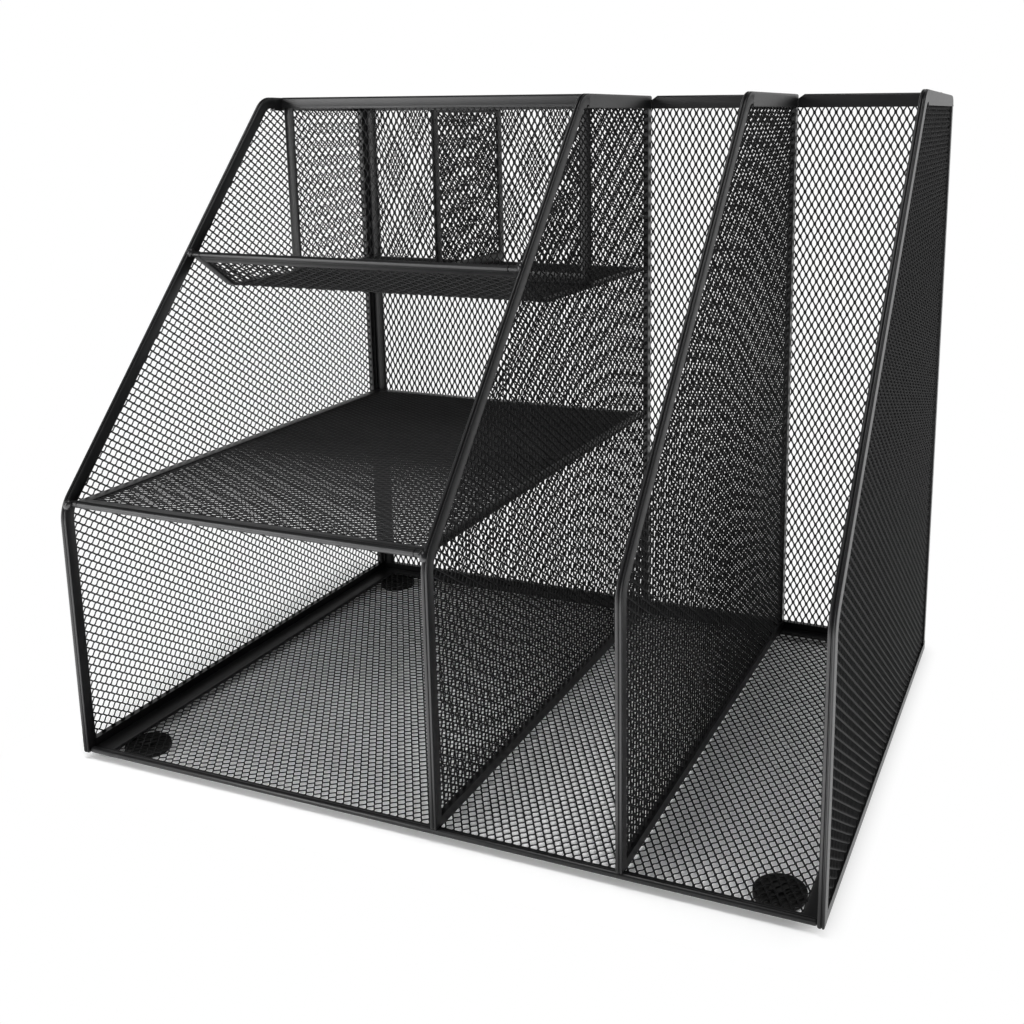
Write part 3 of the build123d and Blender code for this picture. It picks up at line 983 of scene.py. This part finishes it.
@dataclass
class Tray(SubAssembly):
    """Upper tray: level net with a sloping lip in front, folded strips and round rail."""

    strip_width: float = 5.0
    lip_angle: float = 35.0
    bend_radius: float = 9.0
    bend_steps: int = 8
    rail_overlap: float = 1.2
    strip_side_gap: float = 0.2
    strip_end_gap: float = 0.4
    side_strip_faces: tuple[float, float] = (-0.85, 0.7)
    end_strip_faces: tuple[float, float] = (-0.82, 0.72)

    def lip_line(self) -> tuple[np.ndarray, np.ndarray]:
        """Middle line of the tray's sheet, from the rail down the lip and back to the wall.

        Returns:
            Points as (Y, Z), and the unit directions up out of the sheet.
        """
        rail_low, rail_high = box_mm("tray_front_rail")
        low, high = box_mm("tray_mesh")
        level = (low[2] + high[2]) / 2
        rail_y, rail_z = (rail_low[1] + rail_high[1]) / 2, (rail_low[2] + rail_high[2]) / 2
        slope = math.radians(self.lip_angle)
        bend_y = rail_y + (rail_z - level) / math.tan(slope)
        down = np.array([math.cos(slope), -math.sin(slope)])
        out = np.array([math.sin(slope), math.cos(slope)])
        bend_start = np.array([bend_y, level]) - down * self.bend_radius * math.tan(slope / 2)
        centre = bend_start + self.bend_radius * out
        points, normals = [np.array([rail_y, rail_z]) + down * self.rail_overlap], [out]
        for step in range(self.bend_steps + 1):
            angle = slope * (1 - step / self.bend_steps)
            normal = np.array([math.sin(angle), math.cos(angle)])
            points.append(centre - self.bend_radius * normal)
            normals.append(normal)
        points.append(np.array([high[1], level]))
        normals.append(np.array([0.0, 1.0]))
        return np.array(points), np.array(normals)

    def strips(self) -> None:
        """Folded strips along both sides, under the rail and along the wall."""
        points, normals = self.lip_line()
        low, high = box_mm("tray_mesh")
        half, side_gap, end_gap = self.strip_width / 2, self.strip_side_gap, self.strip_end_gap
        side_section = flat_strip_section(-half, half, *self.side_strip_faces)
        end_section = flat_strip_section(-half, half, *self.end_strip_faces)
        ups = [(0.0, ny, nz) for ny, nz in normals]
        parts = []
        for x in (low[0] + half + side_gap, high[0] - half - side_gap):
            parts.append(sweep([(x, y, z) for y, z in points], X_AXIS, ups, side_section))
        down = (points[1] - points[0]) / np.linalg.norm(points[1] - points[0])
        lines = (
            (points[0] + down * half, (0, *down), (0, *normals[0])),
            ((high[1] - half, points[-1][1]), Y_AXIS, Z_AXIS),
        )
        for middle, across, up in lines:
            ends = [(low[0] + end_gap, *middle), (high[0] - end_gap, *middle)]
            parts.append(sweep(ends, across, up, end_section))
        self.fold("tray_folded_strip", parts, ["tray_edge_strip", "tray_lip_strip"])

    def net(self) -> None:
        """One bent net for lip and level sheet, with diamonds that lie across the bay."""
        points, normals = self.lip_line()
        low, high = box_mm("tray_mesh")
        runs = np.concatenate([[0.0], np.cumsum(np.linalg.norm(np.diff(points, axis=0), axis=1))])

        def place(across: np.ndarray, along: np.ndarray, normal: np.ndarray) -> np.ndarray:
            """Strands run along X, one behind the other down the lip and over the level sheet."""
            y, z, ny, nz = (np.interp(across, runs, values) for values in (*points.T, *normals.T))
            return np.stack([along, y + normal * ny, z + normal * nz], -1)

        inset = self.strip_width - NET_TUCK
        limits, reach = (inset, float(runs[-1]) - inset), even(low[0] + inset, high[0] - inset)
        TRAY_NET.net("tray_net", limits, reach, place, self.finishes, ["tray_mesh", "tray_lip_mesh"])

    def build(self) -> None:
        """Builds the tray."""
        RoundRail(self.finishes, "tray_front_rail", "tray_round_rail", 5.5, (-0.8, 0.7)).build()
        self.strips()
        self.net()


@dataclass
class PenCompartments(SubAssembly):
    """Front sheet with its band, and the cross divider behind it."""

    strip_width: float = 6.0
    band_height: float = 5.2
    strip_faces: tuple[float, float] = (-0.9, 0.9)
    strip_gap: float = 0.2
    front_top_width: float = 1.2
    divider_top_width: float = 1.6
    front_net_gap: float = 0.4
    divider_net_gap: float = 0.6

    def front(self) -> None:
        """Front sheet with upright diamonds, its strip and the band over it."""
        width, inset = self.strip_width, self.strip_width - NET_TUCK
        low, high = box_mm("accessory_front_mesh")
        y, gap = (low[1] + high[1]) / 2, self.strip_gap
        ring = ring_strip(
            (low[0] + gap, low[2] + gap), (high[0] - gap, high[2]), (width, width, width, self.front_top_width),
            self.strip_faces, (X_AXIS, Z_AXIS, -Y_AXIS), (0, y, 0),
        )
        self.fold("pen_front_folded_strip", [ring], ["accessory_front_strip"])
        band_low, band_high = box_mm("accessory_top_band")
        ends = [(band_low[0], y, band_high[2]), (band_high[0], y, band_high[2])]
        band = sweep(ends, Y_AXIS, -Z_AXIS, HEM.plain_section(self.band_height, HEM.lip))
        self.fold("pen_front_folded_band", [band], ["accessory_top_band"])
        limits, reach = (low[0] + inset, high[0] - inset), even(low[2] + inset, high[2] - self.front_net_gap)
        place = flat((0, y, 0), X_AXIS, Z_AXIS, -Y_AXIS)
        WALL_NET.net("pen_front_net", limits, reach, place, self.finishes, ["accessory_front_mesh"])

    def divider(self) -> None:
        """Divider between the two compartments."""
        width, inset = self.strip_width, self.strip_width - NET_TUCK
        low, high = box_mm("accessory_divider_mesh")
        x = (low[0] + high[0]) / 2
        ring = ring_strip(
            (low[1], low[2] + self.strip_gap), (high[1], high[2]), (width, width, width, self.divider_top_width),
            self.strip_faces, (Y_AXIS, Z_AXIS, X_AXIS), (x, 0, 0),
        )
        self.fold("pen_divider_folded_strip", [ring], ["accessory_divider_strip"])
        limits, reach = (low[2] + inset, high[2] - self.divider_net_gap), even(low[1] + inset, high[1] - inset)
        place = flat((x, 0, 0), Z_AXIS, Y_AXIS, X_AXIS)
        SIDE_NET.net("pen_divider_net", limits, reach, place, self.finishes, ["accessory_divider_mesh"])

    def build(self) -> None:
        """Builds the compartments."""
        self.front()
        self.divider()


# ---------------------------------------------------------------- feet


@dataclass
class RubberFoot(SubAssembly):
    """Moulded rubber disc with a pressed-in plug, ringed underneath."""

    corner: str
    disc_radius: float = 10.25
    plug_radius: float = 4.0
    plug_height: float = 0.8
    spokes: int = 48

    def profile(self, height: float) -> Outline:
        """Half outline of the foot, from its middle below to its middle above.

        Args:
            height: Its full height.

        Returns:
            Points as (radius, height).
        """
        disc, plug, shoulder = self.disc_radius, self.plug_radius, height - self.plug_height
        rings = [(0.0, 0.9), (2.2, 0.9), (2.6, 0.6), (3.0, 0.0), (4.6, 0.0), (5.0, 0.35), (5.5, 0.35), (5.9, 0.0)]
        edge = [(disc - 0.9, 0.0), (disc - 0.35, 0.12), (disc - 0.05, 0.6), (disc, 1.2)]
        back = [(disc - 0.1, shoulder - 0.5), (disc - 0.5, shoulder - 0.1), (disc - 1.0, shoulder)]
        return rings + edge + back + [(plug, shoulder), (plug, height - 0.15), (plug - 0.2, height), (0.0, height)]

    def build(self) -> None:
        """Builds the foot as one turned shape."""
        node = f"foot_{self.corner}"
        low, high = box_mm(node)
        centre_x, centre_y, _ = (low + high) / 2
        profile = self.profile(high[2])
        ring = len(profile) - 2
        points = [(centre_x, centre_y, profile[0][1])]
        for spoke in range(self.spokes):
            angle = 2 * math.pi * spoke / self.spokes
            for radius, z in profile[1:-1]:
                points.append((centre_x + radius * math.cos(angle), centre_y + radius * math.sin(angle), z))
        points.append((centre_x, centre_y, profile[-1][1]))
        last = len(points) - 1
        faces: list[tuple[int, ...]] = []
        for spoke in range(self.spokes):
            here, there = 1 + spoke * ring, 1 + (spoke + 1) % self.spokes * ring
            faces.append((0, here, there))
            faces.extend((here + i, here + i + 1, there + i + 1, there + i) for i in range(ring - 1))
            faces.append((here + ring - 1, last, there + ring - 1))
        part = (np.array(points, float), faces)
        make_piece(f"rubber_foot_{self.corner}", [part], self.finishes.rubber, [node], 40)


# ---------------------------------------------------------------- studio


@dataclass(frozen=True)
class SoftBox:
    """Soft rectangular lamp, with its places and sides in metres and its power in watts."""

    name: str
    place: tuple[float, float, float]
    target: tuple[float, float, float]
    sides: tuple[float, float]
    watts: float

    def build(self) -> None:
        """Hangs the lamp and points it at its target."""
        data = bpy.data.lights.new(self.name, "AREA")
        data.shape = "RECTANGLE"
        data.size, data.size_y = self.sides
        data.energy = self.watts
        lamp = bpy.data.objects.new(self.name, data)
        bpy.context.scene.collection.objects.link(lamp)
        aim = Vector(self.target) - Vector(self.place)
        lamp.matrix_world = Matrix.Translation(self.place) @ aim.to_track_quat("-Z", "Y").to_matrix().to_4x4()
        lamp.visible_camera = False


LAMPS = (
    SoftBox("overhead_box", (-0.05, -0.32, 1.45), (0, 0, 0.1), (0.5, 0.5), 8.5),
    SoftBox("table_glow", (-0.35, -0.70, 0.001), (-0.35, -0.70, 1.0), (1.7, 1.1), 19.0),
    SoftBox("left_front_box", (-0.85, -1.05, 0.42), (-0.05, 0, 0.15), (0.45, 0.6), 11.0),
)


@dataclass
class Studio:
    """White sweep, soft lamps and the camera, in metres and radians."""

    focal_mm: float = 43.37
    sensor_mm: float = 36.0
    shift: tuple[float, float] = (-0.0859, -0.1289)
    place: tuple[float, float, float] = (0.24117, -0.50795, 0.28267)
    yaw: float = 0.388842
    pitch: float = 0.210885
    roll: float = -0.00555
    floor_reach: float = 12.0
    footprint: tuple[float, float, float] = (0.168, 0.1255, 0.0)
    shadow_reach: float = 0.024
    shadow_shift: tuple[float, float, float] = (0.016, 0.0, 0.0)
    diffuse_level: float = 0.4
    dark_room: float = 0.07

    def camera(self) -> None:
        """Camera at the photograph's viewing angle."""
        data = bpy.data.cameras.new("camera")
        data.lens = self.focal_mm
        data.sensor_fit = "HORIZONTAL"
        data.sensor_width = self.sensor_mm
        data.shift_x, data.shift_y = self.shift
        data.clip_start = 0.01
        data.clip_end = 50.0
        camera = bpy.data.objects.new("camera", data)
        bpy.context.scene.collection.objects.link(camera)
        turn = Matrix.Rotation(self.yaw, 4, "Z") @ Matrix.Rotation(math.pi / 2 - self.pitch, 4, "X")
        camera.matrix_world = Matrix.Translation(self.place) @ turn @ Matrix.Rotation(self.roll, 4, "Z")
        bpy.context.scene.camera = camera

    def paper(self) -> bpy.types.Material:
        """White seamless paper: near the footprint it takes the shadow, further out the eye sees plain white.

        Returns:
            The material.
        """
        material = bpy.data.materials.new("white_seamless_paper")
        material.use_nodes = True
        tree = material.node_tree
        tree.nodes.clear()
        paper = add_node(tree, "ShaderNodeBsdfDiffuse", {"Color": linear("#e6e6e6")})
        lift = add_node(tree, "ShaderNodeBsdfDiffuse", {"Color": linear("#b0b0b0")})
        near = add_node(tree, "ShaderNodeAddShader", {}, {0: paper.outputs[0], 1: lift.outputs[0]})
        white = add_node(tree, "ShaderNodeEmission", {"Color": linear("#ffffff"), "Strength": 1.0})
        away = add_node(tree, "ShaderNodeTexCoord").outputs["Object"]
        steps = (("ADD", self.shadow_shift), ("ABSOLUTE", None), ("SUBTRACT", self.footprint), ("MAXIMUM", (0, 0, 0)))
        for operation, value in steps:
            settings = {"operation": operation} if value is None else {"operation": operation, 1: value}
            away = add_node(tree, "ShaderNodeVectorMath", settings, {0: away}).outputs[0]
        distance = add_node(tree, "ShaderNodeVectorMath", {"operation": "LENGTH"}, {0: away})
        fade = add_node(
            tree,
            "ShaderNodeMapRange",
            {"interpolation_type": "SMOOTHSTEP", "From Min": 0.0, "From Max": self.shadow_reach},
            {"Value": distance.outputs["Value"]},
        )
        seen_links = {0: fade.outputs["Result"], 1: near.outputs[0], 2: white.outputs[0]}
        seen = add_node(tree, "ShaderNodeMixShader", {}, seen_links)
        path = add_node(tree, "ShaderNodeLightPath").outputs
        rays = {0: path["Is Camera Ray"], 1: path["Is Glossy Ray"]}
        eye = add_node(tree, "ShaderNodeMath", {"operation": "MAXIMUM"}, rays)
        shown_links = {0: eye.outputs[0], 1: paper.outputs[0], 2: seen.outputs[0]}
        shown = add_node(tree, "ShaderNodeMixShader", {}, shown_links)
        add_node(tree, "ShaderNodeOutputMaterial", {}, {"Surface": shown.outputs[0]})
        return material

    def floor(self) -> None:
        """Seamless floor that keeps the object's shadow."""
        mesh = bpy.data.meshes.new("studio_floor")
        reach = self.floor_reach
        corners = [(-reach, -reach, 0), (reach, -reach, 0), (reach, reach, 0), (-reach, reach, 0)]
        mesh.from_pydata(corners, [], [(0, 1, 2, 3)])
        mesh.materials.append(self.paper())
        floor = bpy.data.objects.new("studio_floor", mesh)
        bpy.context.scene.collection.objects.link(floor)

    def world(self) -> None:
        """White surroundings for the eye, softer for diffuse light and bright low behind the object in gloss."""
        world = bpy.data.worlds.new("studio")
        bpy.context.scene.world = world
        world.use_nodes = True
        tree = world.node_tree
        tree.nodes.clear()
        path = add_node(tree, "ShaderNodeLightPath").outputs
        rays = {0: path["Is Camera Ray"], 1: path["Is Transmission Ray"]}
        direct = add_node(tree, "ShaderNodeMath", {"operation": "MAXIMUM"}, rays)
        generated = add_node(tree, "ShaderNodeTexCoord").outputs["Generated"]
        heading = add_node(tree, "ShaderNodeSeparateXYZ", {}, {0: generated}).outputs
        behind_span, low_span = {"From Min": -0.1, "From Max": 0.45}, {"From Min": 0.6, "From Max": 0.25}
        behind = add_node(tree, "ShaderNodeMapRange", behind_span, {"Value": heading["Y"]})
        low_down = add_node(tree, "ShaderNodeMapRange", low_span, {"Value": heading["Z"]})
        shares = {0: behind.outputs["Result"], 1: low_down.outputs["Result"]}
        share = add_node(tree, "ShaderNodeMath", {"operation": "MULTIPLY"}, shares)
        level_span = {"To Min": self.dark_room, "To Max": 1.0}
        level = add_node(tree, "ShaderNodeMapRange", level_span, {"Value": share.outputs[0]})
        white_colour = {"Color": linear("#ffffff")}
        soft = add_node(tree, "ShaderNodeBackground", {**white_colour, "Strength": self.diffuse_level})
        glow = add_node(tree, "ShaderNodeBackground", white_colour, {"Strength": level.outputs["Result"]})
        white = add_node(tree, "ShaderNodeBackground", {**white_colour, "Strength": 1.0})
        mirrored_links = {0: path["Is Glossy Ray"], 1: soft.outputs[0], 2: glow.outputs[0]}
        mirrored = add_node(tree, "ShaderNodeMixShader", {}, mirrored_links)
        mix_links = {0: direct.outputs[0], 1: mirrored.outputs[0], 2: white.outputs[0]}
        mix = add_node(tree, "ShaderNodeMixShader", {}, mix_links)
        add_node(tree, "ShaderNodeOutputWorld", {}, {"Surface": mix.outputs[0]})

    def build(self) -> None:
        """Sets up the stage."""
        self.camera()
        self.floor()
        for lamp in LAMPS:
            lamp.build()
        self.world()
        bpy.context.scene.view_settings.view_transform = "Standard"


def main() -> None:
    """Builds the organizer and its stage."""
    logging.basicConfig(level=logging.INFO, format="%(name)s: %(message)s")
    finishes = Finishes()
    panels = {"left_side": False, "shelf_divider": True, "file_divider": True, "right_side": False}
    assemblies: list[SubAssembly] = [UprightPanel(finishes, name, stands) for name, stands in panels.items()]
    assemblies += [kind(finishes) for kind in (BackWall, Floor, Shelf, Tray, PenCompartments)]
    corners = ("front_left", "front_right", "back_left", "back_right")
    assemblies += [RubberFoot(finishes, corner) for corner in corners]
    for assembly in assemblies:
        assembly.build()
    Studio().build()


if __name__ == "__main__":
    main()
